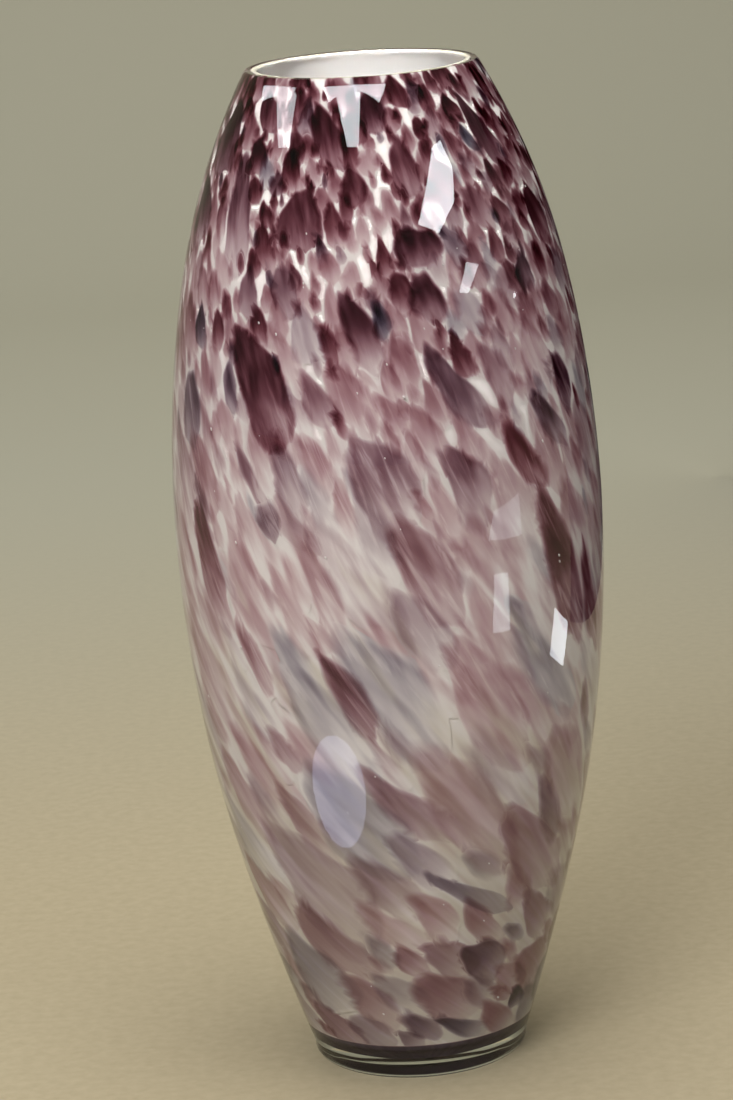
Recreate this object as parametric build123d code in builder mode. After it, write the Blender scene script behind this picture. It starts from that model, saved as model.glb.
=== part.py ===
from build123d import *
import math
import os

# A cased glass vase: a white opal lining, a layer of coloured glass chips on it, and a clear casing over both.
# Millimetres. +Z is up, the origin is the centre of the flat resting face, and the front is -Y.

# ---- Driving dimensions of the outer wall: four arcs, each tangent to the next ----
height = 300
belly_height = 166
belly_radius = 63.3
shoulder_height = 241
belly_upper_arc = 374
shoulder_arc = 205
waist_height = 63
belly_lower_arc = 408
foot_arc = 757

# ---- Layers, each measured through the wall ----
casing_thickness = 1.3
chip_thickness = 0.5
lining_thickness = 1.6
fusing_gap = 0.02

# ---- Base ----
heel_fillet = 3.5
casing_floor = 10
chip_layer_bottom = 12
chip_layer_bottom_fillet = 0.2
lining_floor = 5
lining_corner_fillet = 2
cavity_fillet = 9
pontil_radius = 17
pontil_depth = 1.2

# ---- Cut mouth ----
casing_rim_fillet = 0.5
lining_rim_fillet = 0.6

# ---- Insets from the outer wall, worked out from the layers ----
chips_outer = casing_thickness + fusing_gap
chips_inner = casing_thickness + chip_thickness - fusing_gap
lining_outer = casing_thickness + chip_thickness
lining_inner = lining_outer + lining_thickness

shoulder_tilt = math.asin((shoulder_height - belly_height) / belly_upper_arc)
waist_tilt = math.asin((waist_height - belly_height) / belly_lower_arc)


def next_centre(arc, next_arc, tilt):
    """Centre of the arc that carries on from a belly arc, tangent to it where the wall tilts that much."""
    step = arc - next_arc
    return belly_radius - arc + step * math.cos(tilt), belly_height + step * math.sin(tilt)


shoulder_centre = next_centre(belly_upper_arc, shoulder_arc, shoulder_tilt)
foot_centre = next_centre(belly_lower_arc, foot_arc, waist_tilt)


def arc_radius(centre, arc, z):
    """Distance from the vase's axis to an arc of the wall, at height z."""
    centre_radius, centre_z = centre
    return centre_radius + math.sqrt(arc**2 - (z - centre_z) ** 2)


def half_section(inset, bottom, corner=0):
    """Half section of the vessel, that far inside the outer wall, with a flat bottom and a rounded corner."""
    belly = (belly_radius - inset, belly_height)
    shoulder_z = belly_height + (belly_upper_arc - inset) * math.sin(shoulder_tilt)
    shoulder = (arc_radius(shoulder_centre, shoulder_arc - inset, shoulder_z), shoulder_z)
    mouth = (arc_radius(shoulder_centre, shoulder_arc - inset, height), height)
    waist_z = belly_height + (belly_lower_arc - inset) * math.sin(waist_tilt)
    waist = (arc_radius(foot_centre, foot_arc - inset, waist_z), waist_z)
    foot = (arc_radius(foot_centre, foot_arc - inset, bottom), bottom)
    with BuildSketch(Plane.XZ) as section:
        with BuildLine():
            upper = TangentArc(belly, shoulder, tangent=(0, 1))
            TangentArc(shoulder, mouth, tangent=upper % 1)
            lower = TangentArc(belly, waist, tangent=(0, -1))
            TangentArc(waist, foot, tangent=lower % 1)
            Polyline(mouth, (0, height), (0, bottom), foot)
        make_face()
        if corner:
            fillet(section.vertices().group_by(Axis.Y)[0].sort_by(Axis.X)[-1], corner)
    return section.sketch


# ---- Clear casing, with the thick clear heel and a shallow ground hollow under it ----
with BuildPart() as clear_casing:
    revolve(half_section(0, 0, heel_fillet), axis=Axis.Z)
    revolve(half_section(casing_thickness, casing_floor), axis=Axis.Z, mode=Mode.SUBTRACT)
    fillet(clear_casing.edges().group_by(Axis.Z)[-1].sort_by(SortBy.RADIUS)[-1], casing_rim_fillet)
    with BuildSketch(Plane.XY):
        Circle(pontil_radius)
    extrude(amount=pontil_depth, taper=60, mode=Mode.SUBTRACT)
clear_casing.part.label = "clear_casing"

# ---- Layer of chips, from just above the clear heel to the mouth ----
with BuildPart() as chip_layer:
    revolve(half_section(chips_outer, chip_layer_bottom), axis=Axis.Z)
    revolve(half_section(chips_inner, chip_layer_bottom), axis=Axis.Z, mode=Mode.SUBTRACT)
    fillet(chip_layer.edges().group_by(Axis.Z)[0], chip_layer_bottom_fillet)
chip_layer.part.label = "chip_layer"

# ---- White opal lining, the vessel's inside ----
with BuildPart() as opal_lining:
    revolve(half_section(lining_outer, casing_floor, lining_corner_fillet), axis=Axis.Z)
    cavity_floor = casing_floor + lining_floor
    revolve(half_section(lining_inner, cavity_floor, cavity_fillet), axis=Axis.Z, mode=Mode.SUBTRACT)
    fillet(opal_lining.edges().group_by(Axis.Z)[-1].sort_by(SortBy.RADIUS)[0], lining_rim_fillet)
opal_lining.part.label = "opal_lining"

# ---- Export, one file for each node ----
os.makedirs("parts", exist_ok=True)
export_step(clear_casing.part, "parts/clear_casing.step")
export_step(chip_layer.part, "parts/chip_layer.step")
export_step(opal_lining.part, "parts/opal_lining.step")
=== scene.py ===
import math
import random

import bpy
import numpy as np
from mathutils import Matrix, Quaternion, Vector, noise


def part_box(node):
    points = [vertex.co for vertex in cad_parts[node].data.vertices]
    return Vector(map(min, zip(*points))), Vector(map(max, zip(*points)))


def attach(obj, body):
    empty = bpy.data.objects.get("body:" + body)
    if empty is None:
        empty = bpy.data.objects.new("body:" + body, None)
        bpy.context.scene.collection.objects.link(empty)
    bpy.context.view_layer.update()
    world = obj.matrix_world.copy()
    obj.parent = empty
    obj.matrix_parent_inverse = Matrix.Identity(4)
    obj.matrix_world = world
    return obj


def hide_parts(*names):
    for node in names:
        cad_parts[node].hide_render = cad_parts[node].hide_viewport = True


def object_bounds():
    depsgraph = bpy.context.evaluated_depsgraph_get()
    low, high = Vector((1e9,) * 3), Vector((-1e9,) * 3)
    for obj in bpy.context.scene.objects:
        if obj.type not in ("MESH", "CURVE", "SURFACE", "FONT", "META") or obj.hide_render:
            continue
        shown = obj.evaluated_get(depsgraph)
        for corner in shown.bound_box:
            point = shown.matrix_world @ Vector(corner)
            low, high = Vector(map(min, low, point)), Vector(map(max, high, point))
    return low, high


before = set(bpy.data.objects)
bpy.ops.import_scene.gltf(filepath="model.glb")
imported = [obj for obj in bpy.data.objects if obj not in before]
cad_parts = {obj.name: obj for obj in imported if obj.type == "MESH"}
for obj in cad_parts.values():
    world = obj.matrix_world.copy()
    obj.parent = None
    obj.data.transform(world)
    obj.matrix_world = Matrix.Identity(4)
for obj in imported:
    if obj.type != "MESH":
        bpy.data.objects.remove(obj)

# A cased glass vase: a white opal lining, coloured chips on it one by one, and a clear casing over both.
# Layout along the wall is worked out in millimetres, and every mesh is written in metres.
CAD_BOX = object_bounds()
MM = 0.001
HEIGHT = (CAD_BOX[1].z - CAD_BOX[0].z) / MM
BELLY_RADIUS = (CAD_BOX[1].x - CAD_BOX[0].x) / 2 / MM
HEEL_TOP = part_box("chip_layer")[0].z / MM
CHIPS_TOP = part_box("chip_layer")[1].z / MM
OPAL_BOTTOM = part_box("opal_lining")[0].z / MM


# ---------------------------------------------------------------- the wall, read from the frame

WALL_FIT_DEGREE = 11
WALL_FACING = 0.8


def wall_curve(node, side):
    """Radius of a node's wall as a smooth function of height, in millimetres. side is 1 for its outside and
    -1 for its inside. A face counts when at least WALL_FACING of its normal points that way."""
    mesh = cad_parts[node].data
    heights, radii = [], []
    for polygon in mesh.polygons:
        centre = polygon.center
        outwards = (polygon.normal.x * centre.x + polygon.normal.y * centre.y) / max(centre.xy.length, MM)
        if outwards * side > WALL_FACING:
            for index in polygon.vertices:
                point = mesh.vertices[index].co
                heights.append(point.z / MM)
                radii.append(point.xy.length / MM)
    return np.polynomial.Chebyshev.fit(heights, radii, WALL_FIT_DEGREE)


OUTER_WALL = wall_curve("clear_casing", 1)
OPAL_WALL = wall_curve("opal_lining", 1)
CAVITY_WALL = wall_curve("opal_lining", -1)
WALL_SLOPE = OPAL_WALL.deriv()


def on_wall(azimuth, height, proud):
    """Point in metres that stands so many millimetres proud of the opal, at an azimuth in radians."""
    slope = WALL_SLOPE(height)
    level = 1 / np.sqrt(1 + slope**2)
    radius = OPAL_WALL(height) + proud * level
    z = height - proud * slope * level
    return np.stack([radius * np.sin(azimuth), -radius * np.cos(azimuth), z], -1) * MM


def wall_normal(azimuth, height):
    """Direction straight out of the opal's wall at an azimuth in radians and a height in millimetres."""
    slope = WALL_SLOPE(height)
    level = 1 / np.sqrt(1 + slope**2)
    return np.stack([np.sin(azimuth) * level, -np.cos(azimuth) * level, -slope * level], -1)


# ---------------------------------------------------------------- how the hot glass was drawn and twisted

# The lean is in degrees, and LEAN_CURVE says how late it grows on the way down from the mouth.
LEAN_AT_MOUTH = 10
LEAN_AT_FOOT = 52
LEAN_CURVE = 1.3
STREAM_STEPS = 300


def usual_lean(height):
    """How far the pattern leans to the left at its top, in degrees, at that height."""
    return LEAN_AT_MOUTH + (LEAN_AT_FOOT - LEAN_AT_MOUTH) * (1 - height / HEIGHT) ** LEAN_CURVE


stream_heights = np.linspace(0, HEIGHT, STREAM_STEPS)
stream_turn = np.tan(np.radians(usual_lean(stream_heights))) / OPAL_WALL(stream_heights)
stream_azimuth = np.cumsum(stream_turn) * HEIGHT / STREAM_STEPS
stream_azimuth = stream_azimuth[-1] - stream_azimuth


def flow_point(azimuth, height):
    """Place of a point in the gather before it was twisted, so that a texture there follows the streaks."""
    start = azimuth - np.interp(height, stream_heights, stream_azimuth)
    return np.stack([BELLY_RADIUS * np.sin(start), -BELLY_RADIUS * np.cos(start), height], -1) * MM


# ---------------------------------------------------------------- chips

# Random chips are tried from the first size down to the last, as shares of the usual size at their height.
# A SIZE_CURVE below 1 shrinks them quickly at first, and a HEIGHT_CURVE below 1 tries more of them high up.
CHIP_SEED = 7
CHIP_TRIES = 20000
FIRST_SIZE, LAST_SIZE = 1.35, 0.42
SIZE_CURVE = 0.5
HEIGHT_CURVE = 0.8
END_MARGIN = 1
LENGTH_SPREAD = (0.75, 1.25)
SLIMNESS_SPREAD = (0.8, 1.25)
LEAN_SPREAD = 8
DARK_EXTRA = (0.9, 1.9)
DEPTH_SPREAD = (0.45, 1.25)

# Chips whose distance is within this share of their lengths added up may overlap.
NEAR_SHARE = 1.2
SMALLEST = 1e-9

# What makes each chip a little irregular. Bend and taper are shares of its width, the waves are shares of its
# size, and the edge is softer at its top. The colour fades along it, from the start, in half lengths.
SOFTNESS_SPREAD = (0.6, 1.5)
SOFTEST_EDGE = 0.6
UPPER_SOFTNESS = 1.5
FADE_SPREAD = (0.6, 0.92)
FADE_START, FADE_LENGTH = 0.5, 1.4
TAPER_SPREAD = (0.1, 0.5)
BEND_SPREAD = 0.3
WAVE_ORDERS = (2, 3, 5, 7)
LEAST_WAVE, GREATEST_WAVE = 0.03, 0.26

# How a chip lies on the opal, in millimetres: how proud its flat top and its rim stand, how much higher each
# chip over another one lies, and how its mesh is spaced. The edge rings lie that far inside the outline, but
# never nearer its middle than their shares of it, and their rise goes from 0 at the rim to 1 at the flat top.
LOWEST_CHIP = 0.06
CHIP_EDGE = 0.03
LAYER_STEP = 0.02
RIM_MARGIN = 0.05
OUTLINE_SPACING = 1.3
LEAST_STEPS, MOST_STEPS = 14, 44
RING_SPACING = 3.2
FLAT_SHARE = 0.75
EDGE_RINGS = (1.9, 1.1, 0.5, 0.0)
EDGE_RISE = (1.0, 0.75, 0.4, 0.0)
EDGE_SHARES = (0.82, 0.88, 0.94, 1.0)
NO_COLOUR = 1e-6

# How the chips change with height: length, length over width, the least share of that length, the share of
# chips that are dark, usual depth of colour, width of the soft edge, how rarely a chip is smoky, and the room
# each one keeps, where 1 means that neighbours just touch.
STYLE_HEIGHTS = (8, 35, 70, 110, 150, 185, 220, 255, 300)
STYLES = {
    "length": (14, 28, 42, 42, 34, 24, 16, 11, 9.5),
    "slimness": (1.5, 1.8, 2.0, 2.5, 2.8, 2.6, 2.3, 2.1, 1.9),
    "least_size": (0.45, 0.42, 0.45, 0.5, 0.5, 0.45, 0.45, 0.45, 0.42),
    "dark_share": (0.15, 0.0, 0.0, 0.0, 0.0, 0.04, 0.14, 0.30, 0.58),
    "usual_depth": (1.15, 0.80, 0.63, 0.38, 0.38, 0.58, 0.88, 1.2, 2.0),
    "soft_edge": (1.0, 1.4, 1.8, 2.8, 2.4, 1.5, 1.1, 0.9, 0.75),
    "clearness": (1.5, 1.8, 1.8, 2.0, 2.5, 5.0, 10.0, 12.0, 14.0),
    "room": (0.62, 0.60, 0.60, 0.64, 0.66, 0.64, 0.59, 0.56, 0.53),
}
MARKED_ROOM = 0.68

# The chips that mark the front: azimuth, height, length, width, lean to the left at the top, depth of colour,
# how smoky it is, and for some how much narrower it gets towards its top. Degrees and millimetres.
MARKED_CHIPS = (
    (-35, 217, 39, 16, 22, 2.6, 0.1),
    (-49, 262, 34, 11, 4, 1.7, 0.25),
    (-24, 262, 20, 13, 6, 2.4, 0.1),
    (-15, 284, 23, 9, 24, 2.9, 0.1),
    (14, 254, 14, 14, 10, 3.0, 0.2),
    (15, 240, 16, 11, 12, 2.8, 0.2),
    (-5, 232, 29, 9, 20, 2.4, 0.2),
    (-69, 282, 24, 13, 10, 2.9, 0.3),
    (-74, 262, 24, 12, 14, 2.8, 0.3),
    (-62, 231, 14, 7, 4, 3.0, 0.7),
    (-65, 207, 24, 12, 8, 1.6, 0.6),
    (-45, 290, 13, 8, 28, 2.9, 0.1),
    (3, 290, 14, 9, 6, 3.4, 0.2),
    (13, 275, 18, 9, 12, 2.1, 0.1),
    (-41, 242, 16, 8, 10, 1.3, 0.3),
    (-28, 243, 16, 9, 22, 1.5, 0.3),
    (52, 281, 24, 8, 24, 2.9, 0.2),
    (38, 262, 18, 8, 22, 1.5, 0.1),
    (68, 256, 22, 10, 20, 2.7, 0.1),
    (62, 232, 18, 8, 22, 1.6, 0.1),
    (21, 213, 34, 9, 34, 1.8, 0.4),
    (60, 210, 20, 9, 20, 2.8, 0.4),
    (51, 200, 26, 8, 38, 2.2, 0.5),
    (-18, 213, 20, 9, 26, 1.2, 0.2),
    (-1, 190, 34, 19, 30, 1.2, 0.3),
    (22, 187, 26, 14, 26, 1.1, 0.3),
    (-33, 178, 14, 8, 18, 1.8, 0.5, -0.5),
    (-38, 189, 24, 6, 32, 1.2, 0.3, 0.0),
    (-42, 158, 44, 15, 18, 0.35, 0.0),
    (-57, 163, 44, 11, 20, 1.7, 0.1),
    (9, 164, 40, 16, 28, 0.9, 0.15),
    (52, 158, 56, 14, 18, 1.9, 0.1),
    (66, 144, 40, 9, 16, 2.2, 0.1),
    (-42, 137, 28, 8, 30, 1.0, 0.1),
    (-14, 128, 33, 10, 30, 1.7, 0.2),
    (34, 148, 14, 6, 24, 0.7, 0.8),
    (-36, 110, 18, 8, 30, 0.8, 0.2),
    (66, 112, 20, 8, 20, 1.1, 0.3),
    (0, 92, 40, 13, 46, 1.0, 0.3),
    (-32, 86, 30, 12, 34, 0.55, 0.2),
    (50, 84, 30, 10, 26, 1.1, 0.4),
    (-9, 67, 30, 15, 42, 0.7, 0.4),
    (20, 62, 34, 7, 58, 1.0, 0.8),
    (40, 60, 20, 13, 24, 0.7, 0.1),
    (13, 42, 20, 13, 56, 0.8, 0.3),
    (28, 39, 20, 13, 50, 1.6, 0.5),
    (41, 46, 14, 6, 50, 1.2, 0.7),
    (51, 22, 10, 7, 20, 2.6, 0.7),
    (20, 17, 20, 7, 64, 1.8, 0.8),
    (0, 19, 18, 8, 50, 1.5, 0.6),
    (-34, 47, 34, 15, 42, 0.8, 0.2),
    (-58, 92, 34, 14, 26, 0.5, 0.1),
    (-62, 60, 30, 13, 34, 0.6, 0.1),
)


def smooth_step(value):
    """0 below 0, 1 above 1, and a smooth rise between them."""
    value = np.clip(value, 0, 1)
    return value * value * (3 - 2 * value)


def style(name, height):
    """How the chips are at a height, by the name of a row of STYLES."""
    return float(np.interp(height, STYLE_HEIGHTS, STYLES[name]))


class Chip:
    """One drawn-out chip: its place, size, lean and colour, and the small irregularities of its outline."""

    def __init__(
        self, draw, azimuth, height, length, width, lean, depth, smoke, taper=None, room=MARKED_ROOM
    ):
        self.azimuth = math.radians(azimuth)
        self.height = height
        self.half_length = length / 2
        self.half_width = width / 2
        self.lean = math.radians(lean)
        self.depth = depth
        self.smoke = smoke
        self.room = room
        self.steepness = math.sqrt(1 + float(WALL_SLOPE(height)) ** 2)
        softness = style("soft_edge", height) * draw.uniform(*SOFTNESS_SPREAD)
        self.soft_edge = min(softness, SOFTEST_EDGE * self.half_width)
        self.fade = draw.uniform(*FADE_SPREAD)
        usual_taper = draw.uniform(*TAPER_SPREAD)
        self.taper = usual_taper if taper is None else taper
        self.bend = draw.uniform(-BEND_SPREAD, BEND_SPREAD)
        self.waves = []
        for order in WAVE_ORDERS:
            phase = draw.uniform(0, 2 * math.pi)
            self.waves.append((order, phase, draw.uniform(LEAST_WAVE, GREATEST_WAVE / order)))

    def swell(self, angle):
        """How far the outline swells out of a plain oval at an angle."""
        return 1 + sum(size * np.sin(order * angle + phase) for order, phase, size in self.waves)

    def outline(self, angle):
        """Outline in millimetres from the chip's centre, across it and along it: narrower at the top."""
        along = self.swell(angle) * np.sin(angle)
        across = self.swell(angle) * np.cos(angle) * (1 - self.taper * np.clip(along, -1, 1))
        return (across + self.bend * along**2) * self.half_width, along * self.half_length

    def place(self, across, along):
        """Azimuth and height of points given across and along the chip."""
        around = across * math.cos(self.lean) - along * math.sin(self.lean)
        up = across * math.sin(self.lean) + along * math.cos(self.lean)
        height = np.clip(self.height + up / self.steepness, HEEL_TOP, CHIPS_TOP - RIM_MARGIN)
        return self.azimuth + around / OPAL_WALL(height), height

    def colour_at(self, azimuth, height, radius):
        """Depth of colour this chip adds at points of the wall: strongest high up in it, soft at its edge."""
        turn = (azimuth - self.azimuth + np.pi) % (2 * np.pi) - np.pi
        around = turn * radius
        up = (height - self.height) * self.steepness
        along = (up * math.cos(self.lean) - around * math.sin(self.lean)) / self.half_length
        across = (around * math.cos(self.lean) + up * math.sin(self.lean)) / self.half_width
        across -= self.bend * along**2
        across /= 1 - self.taper * np.clip(along, -1, 1)
        angle = np.arctan2(along, across)
        share = np.hypot(along, across) / self.swell(angle)
        edge = self.half_width + (self.half_length - self.half_width) * np.sin(angle) ** 2
        upper_edge = 1 + UPPER_SOFTNESS * np.clip(np.sin(angle), 0, 1)
        soft = smooth_step((1 - share) * edge / (self.soft_edge * upper_edge))
        grade = 1 - self.fade * smooth_step((FADE_START - along) / FADE_LENGTH)
        return self.depth * soft * grade


class Crowd:
    """Where chips already lie, so that a new one is only laid where there is room."""

    def __init__(self, chips):
        self.chips = list(chips)
        self.columns = np.array([self.row(chip) for chip in chips])
        self.layers = {}

    @staticmethod
    def row(chip):
        """What has_room needs to know of a chip, for one row of the columns."""
        return chip.azimuth, chip.height, chip.half_length, chip.half_width, chip.lean, chip.room

    def add(self, chip):
        """Lays one more chip."""
        self.chips.append(chip)
        self.columns = np.vstack([self.columns, self.row(chip)])

    def offsets(self, chip):
        """Way round the wall and up it from one chip to all the others, in millimetres."""
        turn = (self.columns[:, 0] - chip.azimuth + np.pi) % (2 * np.pi) - np.pi
        return turn * float(OPAL_WALL(chip.height)), self.columns[:, 1] - chip.height

    def has_room(self, chip):
        """Whether a chip keeps its distance from all the others."""
        around, up = self.offsets(chip)
        own = reach(chip.half_length, chip.half_width, chip.lean, around, up)
        half_length, half_width, lean, room = self.columns.T[2:]
        theirs = reach(half_length, half_width, lean, around, up)
        return bool(np.all(np.hypot(around, up) > np.maximum(chip.room, room) * (own + theirs)))

    def near(self, chip):
        """Chips that may lie over or under this one."""
        distance = np.hypot(*self.offsets(chip))
        close = distance < NEAR_SHARE * (chip.half_length + self.columns[:, 2])
        return [self.chips[index] for index in np.flatnonzero(close)]

    def layer(self, chip):
        """Lowest layer in which this chip lies clear of its neighbours that have been laid already."""
        taken = {self.layers[other] for other in self.near(chip) if other in self.layers}
        self.layers[chip] = next(layer for layer in range(len(taken) + 1) if layer not in taken)
        return self.layers[chip]


def reach(half_length, half_width, lean, around, up):
    """Radius of a leaning oval in the direction (around, up)."""
    size = np.hypot(around, up) + SMALLEST
    across = (around * np.cos(lean) + up * np.sin(lean)) / size
    along = (up * np.cos(lean) - around * np.sin(lean)) / size
    return 1 / np.hypot(along / half_length, across / half_width)


def random_chip(draw, size):
    """A chip of the usual size, lean and colour for its height."""
    room_up = CHIPS_TOP - HEEL_TOP - 2 * END_MARGIN
    height = HEEL_TOP + END_MARGIN + room_up * draw.random() ** HEIGHT_CURVE
    size = max(size, style("least_size", height))
    length = size * style("length", height) * draw.uniform(*LENGTH_SPREAD)
    width = length / (style("slimness", height) * draw.uniform(*SLIMNESS_SPREAD))
    lean = usual_lean(height) + draw.uniform(-LEAN_SPREAD, LEAN_SPREAD)
    usual_depth = style("usual_depth", height)
    if draw.random() < style("dark_share", height):
        depth = usual_depth + draw.uniform(*DARK_EXTRA)
    else:
        depth = usual_depth * draw.uniform(*DEPTH_SPREAD)
    smoke = draw.random() ** style("clearness", height)
    azimuth = draw.uniform(-180, 180)
    return Chip(draw, azimuth, height, length, width, lean, depth, smoke, room=style("room", height))


def lay_chips():
    """The marked chips, and random ones wherever there is room, large ones first."""
    draw = random.Random(CHIP_SEED)
    crowd = Crowd([Chip(draw, *row) for row in MARKED_CHIPS])
    for attempt in range(CHIP_TRIES):
        shrinking = (attempt / CHIP_TRIES) ** SIZE_CURVE
        chip = random_chip(draw, FIRST_SIZE + (LAST_SIZE - FIRST_SIZE) * shrinking)
        if crowd.has_room(chip):
            crowd.add(chip)
    return crowd


# ---------------------------------------------------------------- chips as thin plates

def add_object(name, data):
    """A new object in the scene that shows a mesh, a light or a camera."""
    piece = bpy.data.objects.new(name, data)
    bpy.context.scene.collection.objects.link(piece)
    return piece


def set_attribute(mesh, name, values):
    """Gives each point of a mesh a named number or vector."""
    kind, key = ("FLOAT", "value") if values.ndim == 1 else ("FLOAT_VECTOR", "vector")
    attribute = mesh.attributes.new(name, kind, "POINT")
    attribute.data.foreach_set(key, values.astype(np.float32).ravel())


class MeshParts:
    """Vertices, faces and named numbers per vertex, gathered up for one mesh."""

    def __init__(self):
        self.points, self.faces, self.count = [], [], 0
        self.depth, self.smoke, self.flow, self.normal = [], [], [], []

    def add(self, points, faces, depth, smoke, azimuth, height):
        """Adds one closed body, with its colour and its place on the wall at each of its points."""
        self.faces.extend([tuple(self.count + corner for corner in face) for face in faces])
        self.points.append(points)
        self.depth.append(depth)
        self.smoke.append(smoke)
        self.flow.append(flow_point(azimuth, height))
        self.normal.append(wall_normal(azimuth, height))
        self.count += len(points)

    def build(self, name):
        """The finished piece, moving with the vase's one body."""
        mesh = bpy.data.meshes.new(name)
        mesh.from_pydata(np.concatenate(self.points), [], self.faces)
        mesh.shade_smooth()
        set_attribute(mesh, "depth", np.concatenate(self.depth))
        set_attribute(mesh, "smoke", np.concatenate(self.smoke))
        set_attribute(mesh, "flow", np.concatenate(self.flow))
        set_attribute(mesh, "wall_normal", np.concatenate(self.normal))
        piece = add_object(name, mesh)
        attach(piece, "root")
        return piece


def plate_faces(steps, rings):
    """Faces of one chip: rings round a centre point on its front, and a point at the middle of its back."""
    faces = []
    back = 1 + rings * steps
    rim = back - steps
    for step in range(steps):
        after = (step + 1) % steps
        faces.append((0, 1 + step, 1 + after))
        for inner in range(1, rim, steps):
            outer = inner + steps
            faces.append((inner + step, outer + step, outer + after, inner + after))
        faces.append((rim + step, back, rim + after))
    return faces


def add_chip(parts, chip, crowd):
    """Adds one chip as a thin plate laid on the opal, with the colour of all the glass that lies over it."""
    girth = math.pi * (chip.half_length + chip.half_width)
    steps = int(min(MOST_STEPS, max(LEAST_STEPS, girth / OUTLINE_SPACING)))
    edge_across, edge_along = chip.outline(np.linspace(0, 2 * np.pi, steps, endpoint=False))
    edge_radius = np.hypot(edge_across, edge_along)
    inner_rings = math.ceil(FLAT_SHARE * chip.half_length / RING_SPACING)
    shares = [np.full(steps, share) for share in np.linspace(0, FLAT_SHARE, inner_rings + 1)[1:]]
    for inset, least_share in zip(EDGE_RINGS, EDGE_SHARES):
        shares.append(np.maximum(1 - inset / edge_radius, least_share))
    share = np.concatenate([[0], *shares, [1]])
    across = np.concatenate([[0], *(ring * edge_across for ring in shares), [0]])
    along = np.concatenate([[0], *(ring * edge_along for ring in shares), [0]])
    azimuth, height = chip.place(across, along)
    top = LOWEST_CHIP + LAYER_STEP * crowd.layer(chip)
    edge_heights = [CHIP_EDGE + (top - CHIP_EDGE) * rise for rise in EDGE_RISE]
    proud = np.concatenate([np.full(1 + inner_rings * steps, top), np.repeat(edge_heights, steps), [0]])

    depth = np.full(len(share), NO_COLOUR)
    smoke = np.full(len(share), NO_COLOUR * chip.smoke)
    radius = OPAL_WALL(height)
    for other in crowd.near(chip):
        added = other.colour_at(azimuth, height, radius)
        depth += added
        smoke += added * other.smoke
    points = on_wall(azimuth, height, proud)
    parts.add(points, plate_faces(steps, len(shares)), depth, smoke / depth, azimuth, height)


# ---------------------------------------------------------------- materials

def new_material(name):
    """An empty material, and its node tree."""
    material = bpy.data.materials.new(name)
    material.use_nodes = True
    material.node_tree.nodes.clear()
    return material, material.node_tree


def add_node(tree, kind, inputs=None, **settings):
    """A node with its settings and inputs. An input is a value, or another node's socket."""
    node = tree.nodes.new(kind)
    for key, value in settings.items():
        setattr(node, key, value)
    for key, value in (inputs or {}).items():
        if isinstance(value, bpy.types.NodeSocket):
            tree.links.new(value, node.inputs[key])
        else:
            node.inputs[key].default_value = value
    return node


def calculate(tree, operation, *values):
    """The result of one operation on values or sockets."""
    return add_node(tree, "ShaderNodeMath", dict(enumerate(values)), operation=operation).outputs[0]


def multiply(tree, *values):
    """The product of any number of values or sockets."""
    product = values[0]
    for value in values[1:]:
        product = calculate(tree, "MULTIPLY", product, value)
    return product


def remap(tree, value, low, high, to_low, to_high, smooth=False):
    """Takes the range low to high to another range, and stops at its ends."""
    inputs = {"Value": value, "From Min": low, "From Max": high, "To Min": to_low, "To Max": to_high}
    kind = "SMOOTHSTEP" if smooth else "LINEAR"
    return add_node(tree, "ShaderNodeMapRange", inputs, interpolation_type=kind).outputs["Result"]


def cloudiness(tree, place, scale, detail):
    """Noise of even grain. scale is the number of its grains in a metre."""
    inputs = {"Vector": place, "Scale": scale, "Detail": detail}
    return add_node(tree, "ShaderNodeTexNoise", inputs).outputs["Fac"]


def streaks(tree, across, along, detail=3.0, distortion=0.0):
    """Noise drawn out along the flow of the glass. across and along are its sizes in millimetres."""
    flow = add_node(tree, "ShaderNodeAttribute", attribute_name="flow").outputs["Vector"]
    scale = (1 / (across * MM), 1 / (across * MM), 1 / (along * MM))
    drawn = add_node(tree, "ShaderNodeVectorMath", {0: flow, 1: scale}, operation="MULTIPLY").outputs[0]
    inputs = {"Vector": drawn, "Scale": 1.0, "Detail": detail, "Roughness": 0.55, "Distortion": distortion}
    return add_node(tree, "ShaderNodeTexNoise", inputs).outputs["Fac"]


def blend_colours(tree, share, first, second):
    """A colour between two others. Each is a colour or a socket."""
    mix = add_node(tree, "ShaderNodeMix", {"Factor": share}, data_type="RGBA")
    for socket, colour in (("A", first), ("B", second)):
        if isinstance(colour, bpy.types.NodeSocket):
            tree.links.new(colour, mix.inputs[socket])
        else:
            mix.inputs[socket].default_value = (*colour, 1)
    return mix.outputs["Result"]


def set_surface(tree, shader):
    """Makes a shader the surface of its material."""
    output = add_node(tree, "ShaderNodeOutputMaterial")
    tree.links.new(shader.outputs[0], output.inputs["Surface"])


# Depth of colour is in optical depths of red light, and green and blue are absorbed that much more.
AMETHYST_ABSORPTION = (1.0, 1.68, 1.49)
SMOKE_ABSORPTION = (1.28, 1.34, 1.12)
# Opal tone at the mouth and at the foot. The foot's darker, warmer tone is painted shade and a painted warm
# bounce from the table.
LIT_OPAL_AT_MOUTH = (0.82, 0.77, 0.76)
SHADED_OPAL_AT_FOOT = (0.68, 0.62, 0.55)
# Most of a noise texture's values lie between these two.
NOISE_LOW, NOISE_HIGH = 0.3, 0.7


def height_share(tree):
    """Height on the vase: 0 at the table and 1 at the mouth."""
    position = add_node(tree, "ShaderNodeNewGeometry").outputs["Position"]
    z = add_node(tree, "ShaderNodeSeparateXYZ", {0: position}).outputs["Z"]
    return remap(tree, z, 0.0, HEIGHT * MM, 0.0, 1.0)


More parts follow.
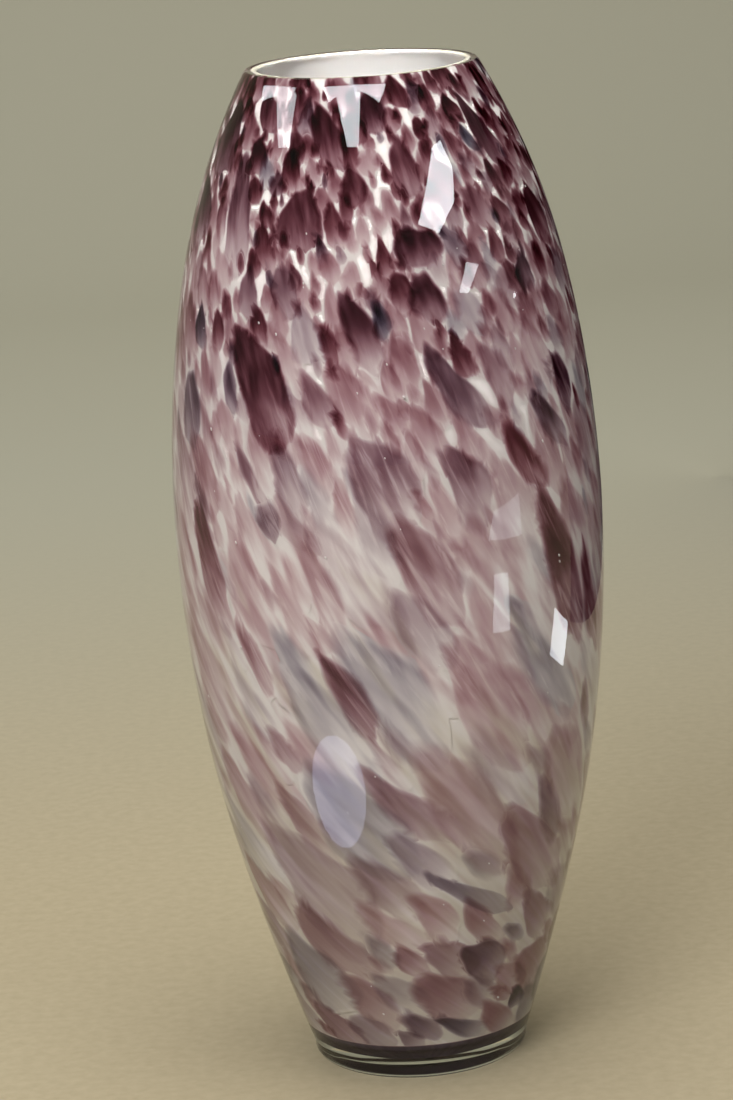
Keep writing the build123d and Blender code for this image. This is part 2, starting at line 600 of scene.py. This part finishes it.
def streaked_depth(tree, rise, depth):
    """A chip's depth of colour with fine lines, broad bands and a ragged edge, all weaker low down, and with
    pale strands drawn over it in the middle of the vase."""
    fineness = remap(tree, rise, 0.25, 0.60, 0.1, 0.8)
    patch = remap(tree, streaks(tree, 9.0, 14.0, detail=1.0), 0.42, 0.62, 0.0, 1.0, smooth=True)
    line = calculate(tree, "SUBTRACT", streaks(tree, 1.7, 9.0, distortion=0.3), 0.5)
    fine = calculate(tree, "MULTIPLY_ADD", line, multiply(tree, patch, fineness), 1.0)
    band = remap(tree, streaks(tree, 4.5, 12.0, detail=1.0), NOISE_LOW, NOISE_HIGH, -0.3, 0.3)
    broad = calculate(tree, "MULTIPLY_ADD", band, remap(tree, rise, 0.1, 0.5, 0.25, 1.0), 1.0)

    notches = remap(tree, streaks(tree, 1.8, 8.0, detail=2.0), NOISE_LOW, NOISE_HIGH, -0.1, 0.1)
    ragged = calculate(tree, "ADD", depth, multiply(tree, notches, fineness))
    gate = remap(tree, ragged, 0.03, 0.30, 0.0, 1.0, smooth=True)

    strand = remap(tree, streaks(tree, 3.0, 22.0, distortion=0.7), 0.52, 0.68, 1.0, 0.5, smooth=True)
    above_foot = remap(tree, rise, 0.25, 0.50, 0.0, 1.0, smooth=True)
    below_shoulder = remap(tree, rise, 0.62, 0.80, 1.0, 0.1, smooth=True)
    strand_share = multiply(tree, above_foot, below_shoulder)
    veil = add_node(tree, "ShaderNodeMix", {"Factor": strand_share, "A": 1.0, "B": strand}).outputs["Result"]
    return multiply(tree, depth, fine, broad, veil, gate)


def wisps_of_colour(tree, rise):
    """Thin colour drawn out between the chips, most of it in the middle of the vase."""
    wisp = remap(tree, streaks(tree, 6.0, 20.0, detail=1.5), 0.45, 0.72, 0.0, 1.0, smooth=True)
    place = add_node(tree, "ShaderNodeValToRGB", {"Fac": rise})
    stops = place.color_ramp.elements
    for stop, height in zip(stops, (0.12, 0.85)):
        stop.position = height
        stop.color = (0.05, 0.05, 0.05, 1)
    stops.new(0.5).color = (0.45, 0.45, 0.45, 1)
    return multiply(tree, wisp, place.outputs["Color"])


def glass_colour(tree, depth, smoke):
    """What is left of white light after glass of that depth of colour."""
    inputs = {"Factor": smoke, "A": AMETHYST_ABSORPTION, "B": SMOKE_ABSORPTION}
    tint = add_node(tree, "ShaderNodeMix", inputs, data_type="VECTOR").outputs["Result"]
    amount = add_node(tree, "ShaderNodeVectorMath", {0: tint, "Scale": depth}, operation="SCALE").outputs[0]
    channels = add_node(tree, "ShaderNodeSeparateXYZ", {0: amount}).outputs
    passed = [calculate(tree, "EXPONENT", multiply(tree, channel, -1.0)) for channel in channels]
    return add_node(tree, "ShaderNodeCombineXYZ", dict(enumerate(passed))).outputs[0]


def coloured_opal(name):
    """Opal white seen through however much coloured glass lies over it, with streaks, thin wisps, and painted
    shade at the foot.
    """
    material, tree = new_material(name)
    # Shading uses the wall's own normal, so this correction would only darken the chips' thin rims.
    material.cycles.use_bump_map_correction = False
    rise = height_share(tree)
    depth = add_node(tree, "ShaderNodeAttribute", attribute_name="depth").outputs["Fac"]
    smoke = add_node(tree, "ShaderNodeAttribute", attribute_name="smoke").outputs["Fac"]
    normal = add_node(tree, "ShaderNodeAttribute", attribute_name="wall_normal").outputs["Vector"]
    total = calculate(tree, "ADD", streaked_depth(tree, rise, depth), wisps_of_colour(tree, rise))

    cloud = remap(tree, streaks(tree, 9.0, 30.0, detail=2.0), NOISE_LOW, NOISE_HIGH, -0.25, 0.25)
    # Painted shade: the opal turns darker and warmer towards the foot, and cloudy streaks break up where it
    # changes.
    painted_light_share = remap(tree, calculate(tree, "ADD", rise, cloud), 0.10, 0.45, 0.0, 1.0, smooth=True)
    opal = blend_colours(tree, painted_light_share, SHADED_OPAL_AT_FOOT, LIT_OPAL_AT_MOUTH)
    seen = {0: opal, 1: glass_colour(tree, total, smoke)}
    colour = add_node(tree, "ShaderNodeVectorMath", seen, operation="MULTIPLY").outputs[0]
    inputs = {"Base Color": colour, "Roughness": 0.55, "Specular IOR Level": 0.0, "Normal": normal}
    set_surface(tree, add_node(tree, "ShaderNodeBsdfPrincipled", inputs))
    return material


# Where the darker, yellower band on top of the cut mouth begins and is full, in millimetres below the top.
CUT_START, CUT_END = 0.9, 0.2


def bare_opal():
    """The glossy white inside with faint clouding, and a darker, yellower band on top of the cut mouth."""
    material, tree = new_material("opal_inside")
    position = add_node(tree, "ShaderNodeNewGeometry").outputs["Position"]
    clouds = cloudiness(tree, position, 60.0, 4.0)
    inside = blend_colours(tree, clouds, (0.86, 0.83, 0.80), (0.92, 0.90, 0.87))
    z = add_node(tree, "ShaderNodeSeparateXYZ", {0: position}).outputs["Z"]
    cut = remap(tree, z, (HEIGHT - CUT_START) * MM, (HEIGHT - CUT_END) * MM, 0.0, 1.0, smooth=True)
    colour = blend_colours(tree, cut, inside, (0.56, 0.53, 0.44))
    ripple = cloudiness(tree, position, 90.0, 1.0)
    bump = add_node(tree, "ShaderNodeBump", {"Height": ripple, "Strength": 0.05, "Distance": MM}).outputs[0]
    inputs = {"Base Color": colour, "Roughness": 0.12, "IOR": 1.5, "Normal": bump,
              "Subsurface Weight": 0.25, "Subsurface Radius": (1.0, 0.9, 0.8), "Subsurface Scale": 2.5 * MM}
    set_surface(tree, add_node(tree, "ShaderNodeBsdfPrincipled", inputs))
    return material


def clear_glass():
    """Clear casing glass. Light passes straight through it to what lies under it."""
    material, tree = new_material("clear_casing_glass")
    position = add_node(tree, "ShaderNodeNewGeometry").outputs["Position"]
    roughness = remap(tree, cloudiness(tree, position, 45.0, 3.0), 0.35, 0.75, 0.0, 0.045)
    inputs = {"Color": (0.965, 0.975, 0.955, 1), "Roughness": roughness, "IOR": 1.5}
    glass = add_node(tree, "ShaderNodeBsdfGlass", inputs)
    clear = add_node(tree, "ShaderNodeBsdfTransparent", {"Color": (0.97, 0.97, 0.96, 1)})
    shadow = add_node(tree, "ShaderNodeLightPath").outputs["Is Shadow Ray"]
    inputs = {0: shadow, 1: glass.outputs[0], 2: clear.outputs[0]}
    set_surface(tree, add_node(tree, "ShaderNodeMixShader", inputs))
    return material


def painted_glint_bubble():
    """Pale grey to white: a painted glint, as a seed bubble glints in the light."""
    material, tree = new_material("seed_bubble_painted_glint")
    position = add_node(tree, "ShaderNodeNewGeometry").outputs["Position"]
    clouds = cloudiness(tree, position, 900.0, 2.0)
    pale = blend_colours(tree, clouds, (0.62, 0.56, 0.56), (0.90, 0.86, 0.85))
    set_surface(tree, add_node(tree, "ShaderNodeBsdfPrincipled", {"Base Color": pale, "Roughness": 0.25}))
    return material


# ---------------------------------------------------------------- turned layers

TURN_STEPS = 256
WALL_SPACING = 2.0
FINE_SPACING = 1.5
ON_AXIS = 1e-6


def turned_mesh(name, profile):
    """A smooth closed turned body. profile is (radius, height) in millimetres, from the axis to the axis."""
    points, rows = [], []
    angles = np.linspace(0, 2 * np.pi, TURN_STEPS, endpoint=False)
    for radius, height in profile:
        if radius < ON_AXIS:
            rows.append([len(points)])
            points.append((0.0, 0.0, height * MM))
            continue
        rows.append(list(range(len(points), len(points) + TURN_STEPS)))
        x, y = radius * np.sin(angles) * MM, -radius * np.cos(angles) * MM
        points.extend(zip(x, y, [height * MM] * TURN_STEPS))
    faces = []
    for low, high in zip(rows, rows[1:]):
        for step in range(TURN_STEPS):
            after = (step + 1) % TURN_STEPS
            if len(low) == 1:
                faces.append((low[0], high[after], high[step]))
            elif len(high) == 1:
                faces.append((low[step], low[after], high[0]))
            else:
                faces.append((low[step], low[after], high[after], high[step]))
    mesh = bpy.data.meshes.new(name)
    mesh.from_pydata(points, [], faces)
    mesh.shade_smooth()
    return mesh


def corner(centre_radius, centre_height, radius, start, end, steps=6):
    """Points on a rounded corner, from one angle to another, in degrees."""
    angles = np.radians(np.linspace(start, end, steps))
    return [(centre_radius + radius * math.cos(a), centre_height + radius * math.sin(a)) for a in angles]


def wall_points(curve, low, high, spacing=WALL_SPACING, inset=0.0):
    """Points on a wall from one height to another, that far inside it."""
    heights = np.linspace(low, high, max(2, int(abs(high - low) / spacing)))
    return [(float(curve(h)) - inset, float(h)) for h in heights]


# Opal lining, in millimetres. Its bottom is a shallow dome that hangs into the clear heel, given as radius
# and depth below the CAD's flat bottom. Painted shade: its underside is dark, for the shadow seen through the
# heel.
FLOOR_THICKNESS = 5
LIP_FILLET = 0.6
LIP_MARGIN = 1.5
CORNER_FILLET = 2
CORNER_START = -60
WALL_START = 3
CAVITY_FILLET = 9
DOME = ((0.0, 5.5), (10.0, 5.0), (17.0, 3.8), (23.0, 1.9))
UNDER_MARGIN = 0.2
UNDER_PAINTED_SHADE_DEPTH = 1.9
UNDER_PAINTED_SHADE_SMOKE = 0.85


def opal_outside():
    """Profile of the lining's outside, from its axis up to the mouth."""
    bend = OPAL_BOTTOM + CORNER_FILLET
    profile = [(radius, OPAL_BOTTOM - depth) for radius, depth in DOME]
    profile += corner(float(OPAL_WALL(bend)) - CORNER_FILLET, bend, CORNER_FILLET, CORNER_START, 0)
    return profile + wall_points(OPAL_WALL, OPAL_BOTTOM + WALL_START, HEIGHT, FINE_SPACING)


def opal_inside():
    """Profile of the cut mouth and the cavity, down to the middle of its floor."""
    floor = OPAL_BOTTOM + FLOOR_THICKNESS
    bend = floor + CAVITY_FILLET
    profile = corner(float(CAVITY_WALL(HEIGHT)) + LIP_FILLET, HEIGHT - LIP_FILLET, LIP_FILLET, 90, 180)
    profile += wall_points(CAVITY_WALL, HEIGHT - LIP_MARGIN, bend)
    profile += corner(float(CAVITY_WALL(bend)) - CAVITY_FILLET, bend, CAVITY_FILLET, 0, -90, steps=10)[1:]
    return profile + [(0.0, floor)]


def build_opal_lining(outside, inside):
    """White inner vessel: its outer wall lies under the chips, and its mouth and inside are bare."""
    outer = opal_outside()
    mesh = turned_mesh("opal_lining_glass", outer + opal_inside())
    mesh.materials.append(outside)
    mesh.materials.append(inside)
    first_inner_face = TURN_STEPS * (len(outer) - 1)
    for polygon in mesh.polygons:
        polygon.material_index = 1 if polygon.index >= first_inner_face else 0
    places = np.array([point.co for point in mesh.vertices]) / MM
    azimuth = np.arctan2(places[:, 0], -places[:, 1])
    height = np.clip(places[:, 2], HEEL_TOP, HEIGHT)
    set_attribute(mesh, "flow", flow_point(azimuth, height))
    set_attribute(mesh, "wall_normal", wall_normal(azimuth, height))
    # Painted shade: below the heel's top the lining is coloured dark and smoky, standing in for the shadow
    # under the vase.
    under = places[:, 2] < HEEL_TOP - UNDER_MARGIN
    under[1 + first_inner_face:] = False
    set_attribute(mesh, "depth", under * UNDER_PAINTED_SHADE_DEPTH)
    set_attribute(mesh, "smoke", under * UNDER_PAINTED_SHADE_SMOKE)
    piece = add_object("opal_lining_glass", mesh)
    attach(piece, "root")
    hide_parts("opal_lining")
    return piece


# Clear casing, in millimetres. The ground hollow is given as radius and height. The waves are given as how
# far they push the wall, how many there are in a metre round it and up it, and how far from the heel and the
# mouth they reach their full size.
HEEL_FILLET = 3.5
HEEL_MARGIN = 1
OUTSIDE_START = 5
HOLLOW = ((0.0, 1.2), (15.0, 1.2), (17.0, 0.0))
RIM_FILLET = 0.45
RIM_START = 20
BELOW_RIM = 0.6
CASING_OVERLAP = 0.1
OVERLAP_MARGIN = 2
WAVE = 0.16
WAVES_ROUND, WAVES_UP = 28, 11
WAVES_TOP = HEIGHT - 4
FADE_ABOVE_HEEL, FADE_BELOW_MOUTH = 20, 12
OUTSIDE_MARGIN = 0.6


def casing_profile():
    """Hollow, heel and outside from the axis up to the mouth, and back down just inside the opal's wall."""
    heel_radius = float(OUTER_WALL(HEEL_FILLET + HEEL_MARGIN))
    floor = OPAL_BOTTOM + CASING_OVERLAP
    profile = list(HOLLOW)
    profile += corner(heel_radius - HEEL_FILLET, HEEL_FILLET, HEEL_FILLET, -90, 0, steps=9)
    profile += wall_points(OUTER_WALL, OUTSIDE_START, HEIGHT - BELOW_RIM, FINE_SPACING)
    rim_radius = float(OUTER_WALL(HEIGHT)) - RIM_FILLET
    profile += corner(rim_radius, HEIGHT - RIM_FILLET, RIM_FILLET, RIM_START, 90, steps=5)
    profile += wall_points(OPAL_WALL, HEIGHT, OPAL_BOTTOM + OVERLAP_MARGIN, inset=CASING_OVERLAP)
    return profile + [(float(OPAL_WALL(OPAL_BOTTOM)) - OVERLAP_MARGIN, floor), (0.0, floor)]


def make_wavy(mesh):
    """Gives the outside the slight waves of blown glass, which fade out at the heel and at the mouth."""
    for point in mesh.vertices:
        height = point.co.z / MM
        distance = point.co.xy.length / MM
        on_outside = distance > float(OPAL_WALL(min(height, HEIGHT))) + OUTSIDE_MARGIN
        if on_outside and HEEL_FILLET < height < WAVES_TOP:
            above_heel = (height - HEEL_FILLET) / FADE_ABOVE_HEEL
            fade = min(1.0, above_heel, (WAVES_TOP - height) / FADE_BELOW_MOUTH)
            place = (point.co.x * WAVES_ROUND, point.co.y * WAVES_ROUND, point.co.z * WAVES_UP)
            push = WAVE * noise.noise(Vector(place)) * fade * MM
            point.co.x += push * point.co.x / point.co.xy.length
            point.co.y += push * point.co.y / point.co.xy.length


def build_casing(material):
    """Clear outer layer with the clear heel and the ground hollow under it."""
    mesh = turned_mesh("clear_casing_wall", casing_profile())
    make_wavy(mesh)
    mesh.materials.append(material)
    piece = add_object("clear_casing_wall", mesh)
    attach(piece, "root")
    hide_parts("clear_casing")


# ---------------------------------------------------------------- seed bubbles

# Sizes in millimetres. The stretch is a bubble's length over its width.
BUBBLES = 110
BUBBLE_SEED = 11
BUBBLE_PROUD = 0.95
BUBBLE_RADIUS = (0.14, 0.34)
BUBBLE_STRETCH = (1.0, 1.9)
BUBBLE_SIDES, BUBBLE_ROWS = 8, 5
LOWEST_BUBBLE = HEEL_TOP + 5
HIGHEST_BUBBLE = HEIGHT - 12


def bubble_points(radius, stretch):
    """Points of a bubble across it, along it and out from the wall, from its upper end to its lower one."""
    polar = np.repeat(np.pi * np.arange(1, BUBBLE_ROWS + 1) / (BUBBLE_ROWS + 1), BUBBLE_SIDES)
    turn = np.tile(2 * np.pi * np.arange(BUBBLE_SIDES) / BUBBLE_SIDES, BUBBLE_ROWS)
    across = radius * np.concatenate([[0], np.sin(polar) * np.cos(turn), [0]])
    along = radius * stretch * np.concatenate([[1], np.cos(polar), [-1]])
    out = radius * np.concatenate([[0], np.sin(polar) * np.sin(turn), [0]])
    return across, along, out


def bubble_faces():
    """Faces of a bubble: a fan at each end, and rows of four-sided faces between them."""
    faces = []
    last = 1 + BUBBLE_ROWS * BUBBLE_SIDES
    for side in range(BUBBLE_SIDES):
        after = (side + 1) % BUBBLE_SIDES
        faces.append((0, 1 + side, 1 + after))
        for low in range(1, last - BUBBLE_SIDES, BUBBLE_SIDES):
            high = low + BUBBLE_SIDES
            faces.append((low + side, high + side, high + after, low + after))
        faces.append((last - BUBBLE_SIDES + side, last, last - BUBBLE_SIDES + after))
    return faces


def build_bubbles(material):
    """Tiny drawn-out seed bubbles caught in the casing."""
    draw = random.Random(BUBBLE_SEED)
    parts = MeshParts()
    for _ in range(BUBBLES):
        azimuth = draw.uniform(-math.pi, math.pi)
        height = draw.uniform(LOWEST_BUBBLE, HIGHEST_BUBBLE)
        radius = draw.uniform(*BUBBLE_RADIUS)
        across, along, out = bubble_points(radius, draw.uniform(*BUBBLE_STRETCH))
        lean = math.radians(usual_lean(height))
        azimuths = azimuth + (across * math.cos(lean) - along * math.sin(lean)) / float(OPAL_WALL(height))
        heights = height + across * math.sin(lean) + along * math.cos(lean)
        none = np.zeros(len(across))
        points = on_wall(azimuths, heights, BUBBLE_PROUD + out)
        parts.add(points, bubble_faces(), none, none, azimuths, heights)
    piece = parts.build("seed_bubbles")
    piece.data.materials.append(material)


# ---------------------------------------------------------------- build the vase

CHIP_GROUPS = ("dark_amethyst_chips", "amethyst_chips", "pale_amethyst_chips", "smoke_chips")
SMOKY = 0.5
DARK_DEPTH = 1.7
MIDDLE_DEPTH = 0.75


def chip_group(chip):
    """The kind of glass that a chip is shown as."""
    if chip.smoke >= SMOKY:
        return "smoke_chips"
    if chip.depth >= DARK_DEPTH:
        return "dark_amethyst_chips"
    return "amethyst_chips" if chip.depth >= MIDDLE_DEPTH else "pale_amethyst_chips"


def build_chips(group, crowd):
    """All the chips of one kind, as one piece."""
    parts = MeshParts()
    for chip in crowd.chips:
        if chip_group(chip) == group:
            add_chip(parts, chip, crowd)
    piece = parts.build(group)
    piece.data.materials.append(coloured_opal(group + "_glass"))
    piece.visible_shadow = False
    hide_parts("chip_layer")


laid_chips = lay_chips()
for kind in CHIP_GROUPS:
    build_chips(kind, laid_chips)
lining = build_opal_lining(coloured_opal("opal_under_casing"), bare_opal())
build_casing(clear_glass())
build_bubbles(painted_glint_bubble())


# ---------------------------------------------------------------- camera, as the vase was seen

# Places are shares of the vase's height, the roll is in degrees, the lens and sensor are in millimetres, and
# the clip is in metres.
CAMERA_DISTANCE = 3.90
CAMERA_HEIGHT = 1.465
AIM_SIDE = -0.024
AIM_HEIGHT = 0.519
CAMERA_ROLL = -3.64
LENS = 132.8
SENSOR = 36.0
CLIP_START = 0.01


def facing(place, target, roll=0.0):
    """Turn of a camera or a light that stands at a place and looks at a target, rolled by some degrees."""
    towards = Vector(target) - Vector(place)
    return towards.to_track_quat("-Z", "Y") @ Quaternion((0, 0, 1), math.radians(roll))


def build_camera():
    """The camera that the main picture is taken with."""
    size = HEIGHT * MM
    camera = add_object("camera", bpy.data.cameras.new("camera"))
    camera.data.sensor_fit = "VERTICAL"
    camera.data.sensor_height = SENSOR
    camera.data.sensor_width = SENSOR
    camera.data.lens = LENS
    camera.data.clip_start = CLIP_START
    camera.location = (0, -CAMERA_DISTANCE * size, CAMERA_HEIGHT * size)
    camera.rotation_mode = "QUATERNION"
    aim = (AIM_SIDE * size, 0, AIM_HEIGHT * size)
    camera.rotation_quaternion = facing(camera.location, aim, CAMERA_ROLL)
    return camera


bpy.context.scene.camera = build_camera()


# ---------------------------------------------------------------- lights

MOUTH_LIGHT_SPREAD = 9
WORLD_COLOUR = (0.50, 0.48, 0.45, 1)
WORLD_STRENGTH = 0.33
BRIGHTEST_BOUNCE = 40.0


def area_light(name, place, target, size, power, colour=(1, 1, 1)):
    """A rectangular light that faces a target and doesn't show as a highlight. Metres and watts."""
    light = bpy.data.lights.new(name, "AREA")
    light.shape = "RECTANGLE"
    light.size, light.size_y = size
    light.energy = power
    light.color = colour
    lamp = add_object(name, light)
    lamp.location = place
    lamp.rotation_mode = "QUATERNION"
    lamp.rotation_quaternion = facing(place, target)
    lamp.visible_glossy = False
    lamp.visible_transmission = False
    lamp.visible_camera = False
    return lamp


def light_mouth(piece):
    """A narrow light into the mouth, that lights only one piece."""
    lamp = area_light("mouth_light", (-0.05, -0.75, 1.15), (0, 0.01, 0.29), (0.12, 0.12), 0.14)
    lamp.data.spread = math.radians(MOUTH_LIGHT_SPREAD)
    receivers = bpy.data.collections.new("lit_by_mouth_light")
    receivers.objects.link(piece)
    lamp.light_linking.receiver_collection = receivers


def light_world():
    """Even dim light from all round."""
    world = bpy.data.worlds.new("studio")
    world.use_nodes = True
    background = world.node_tree.nodes["Background"].inputs
    background["Color"].default_value = WORLD_COLOUR
    background["Strength"].default_value = WORLD_STRENGTH
    bpy.context.scene.world = world


# Each light: its name, its place, what it faces, its width and depth, its power and its colour.
area_light("soft_key", (-0.65, -1.35, 1.15), (0, 0, 0.16), (0.9, 0.9), 15, (1, 0.98, 0.97))
area_light("soft_fill", (1.3, -0.9, 0.9), (0, 0, 0.15), (1.2, 1.2), 1.3, (1, 0.97, 0.95))
area_light("soft_top", (0.0, -0.1, 1.7), (0, 0, 0.1), (1.2, 1.2), 14.5, (1, 0.98, 0.96))
area_light("soft_back", (-0.5, 1.4, 1.0), (0, 0, 0.15), (1.2, 1.0), 2.5, (1, 0.97, 0.93))
light_mouth(lining)
light_world()
bpy.context.scene.view_settings.view_transform = "Standard"
bpy.context.scene.cycles.sample_clamp_indirect = BRIGHTEST_BOUNCE


# ---------------------------------------------------------------- mirrored room, not part of the vase

def staged_sheet(name, points, faces, material):
    """A thin sheet that is staged round the vase."""
    mesh = bpy.data.meshes.new(name)
    mesh.from_pydata(points, [], faces)
    mesh.materials.append(material)
    sheet = add_object(name, mesh)
    return sheet


def dark_flag(name, start, end, top):
    """An upright dark sheet that darkens one side of the vase, as a photographer's flag does. It stands on
    the table from one point to another, in metres."""
    material, tree = new_material(name)
    set_surface(tree, add_node(tree, "ShaderNodeBsdfDiffuse", {"Color": (0.012, 0.010, 0.009, 1)}))
    points = [(*start, 0), (*end, 0), (*end, top), (*start, top)]
    flag = staged_sheet(name, points, [(0, 1, 2, 3)], material)
    flag.visible_camera = False
    flag.visible_transmission = False
    flag.visible_shadow = False


def mirrored_card(name, outline, radiance, colour=(0.90, 0.94, 1.0), distance=1.3):
    """A bright card that is only seen mirrored in the outer wall, as a window or a lamp of the room is.
    outline is where it shows there, in azimuth (degrees) and height (millimetres), and must be convex."""
    eye = bpy.context.scene.camera.location
    points = []
    for azimuth, height in outline:
        angle = math.radians(azimuth)
        slope = float(OUTER_WALL.deriv()(height))
        radius = float(OUTER_WALL(height))
        point = Vector((radius * math.sin(angle), -radius * math.cos(angle), height)) * MM
        normal = Vector((math.sin(angle), -math.cos(angle), -slope)).normalized()
        seen = (point - eye).normalized()
        points.append(point + (seen - 2 * seen.dot(normal) * normal) * distance)
    material, tree = new_material(name)
    set_surface(tree, add_node(tree, "ShaderNodeEmission", {"Color": (*colour, 1), "Strength": radiance}))
    card = staged_sheet(name, points, [(0, i, i + 1) for i in range(1, len(points) - 1)], material)
    card.visible_camera = False
    card.visible_diffuse = False
    card.visible_transmission = False
    card.visible_shadow = False


def oval(azimuth, height, half_width, half_height, steps=18):
    """Outline of an upright oval card."""
    angles = [2 * math.pi * step / steps for step in range(steps)]
    return [(azimuth + half_width * math.cos(a), height + half_height * math.sin(a)) for a in angles]


NEAR_PANE = 0.3
NEAR_LAMP = 0.12
LILAC = (0.74, 0.74, 1.0)

dark_flag("dark_flag", start=(0.43, 0.12), end=(0.16, 0.75), top=0.6)

# Each card: its name, the outline where it shows, and how bright it is.
mirrored_card("ceiling_bar", ((-18, 297.5), (-15, 293.5), (7, 293.5), (11, 297.5)), 15)
mirrored_card("ceiling_stem", ((-12, 296), (-7, 282), (-3, 282), (-1, 296)), 15)
mirrored_card("ceiling_bar_left", ((-53, 297.5), (-50, 293.5), (-34, 293.5), (-32, 297.5)), 10)
mirrored_card("ceiling_stem_left", ((-42, 296), (-35, 282), (-30, 282), (-31, 296)), 10)
mirrored_card("window_high", ((15, 260), (21.5, 257), (29, 265), (31.5, 274), (29.5, 282), (25, 280)), 18)
mirrored_card("window_high_small", ((25, 240), (28, 239.5), (33, 247), (29, 248)), 12)
mirrored_card("window_speck", ((43.5, 236), (44.5, 236), (45, 237.5), (44, 237.5)), 16)
mirrored_card("window_pane_left", ((26, 170), (36, 170), (36, 182), (28, 178)), 3, distance=NEAR_PANE)
mirrored_card("window_pane_lower", ((26, 143), (31, 143), (31, 160), (27, 160)), 5, distance=NEAR_PANE)
mirrored_card("window_pane_right", ((45, 132), (51, 127), (53, 140), (47, 146)), 8, distance=NEAR_PANE)
mirrored_card("round_lamp", oval(-19.5, 98, 8, 18), 4, colour=LILAC, distance=NEAR_LAMP)


# ---------------------------------------------------------------- plain pale floor and backdrop

# Metres. The tone changes from the table's to the wall's between TABLE_END and WALL_BEGIN.
HALF_WIDTH = 4.0
FRONT, BACK = -3.0, 1.8
WALL_TOP = 3.0
BEND_RADIUS, BEND_STEPS = 0.5, 16
BELOW_VASE = 0.0002
TABLE_END, WALL_BEGIN = 0.1, 0.9


def pale_table():
    """Speckled straw tone near the vase, which turns greyer towards the wall."""
    material, tree = new_material("pale_table")
    position = add_node(tree, "ShaderNodeNewGeometry").outputs["Position"]
    speckle = cloudiness(tree, position, 260.0, 2.0)
    table = blend_colours(tree, speckle, (0.50, 0.43, 0.28), (0.62, 0.54, 0.37))
    y = add_node(tree, "ShaderNodeSeparateXYZ", {0: position}).outputs["Y"]
    far_share = remap(tree, y, TABLE_END, WALL_BEGIN, 0.0, 1.0, smooth=True)
    colour = blend_colours(tree, far_share, table, (0.565, 0.555, 0.44))
    inputs = {"Base Color": colour, "Roughness": 0.8, "Specular IOR Level": 0.0}
    set_surface(tree, add_node(tree, "ShaderNodeBsdfPrincipled", inputs))
    return material


def build_backdrop():
    """One pale sheet that lies flat under the vase and curves up behind it."""
    line = [(FRONT, 0.0), (BACK - BEND_RADIUS, 0.0)]
    for step in range(1, BEND_STEPS + 1):
        angle = math.pi / 2 * step / BEND_STEPS
        y = BACK - BEND_RADIUS + BEND_RADIUS * math.sin(angle)
        line.append((y, BEND_RADIUS - BEND_RADIUS * math.cos(angle)))
    line.append((BACK, WALL_TOP))
    points = [(side, y, z - BELOW_VASE) for y, z in line for side in (-HALF_WIDTH, HALF_WIDTH)]
    faces = [(2 * i, 2 * i + 1, 2 * i + 3, 2 * i + 2) for i in range(len(line) - 1)]
    sheet = staged_sheet("backdrop", points, faces, pale_table())
    sheet.data.shade_smooth()


build_backdrop()
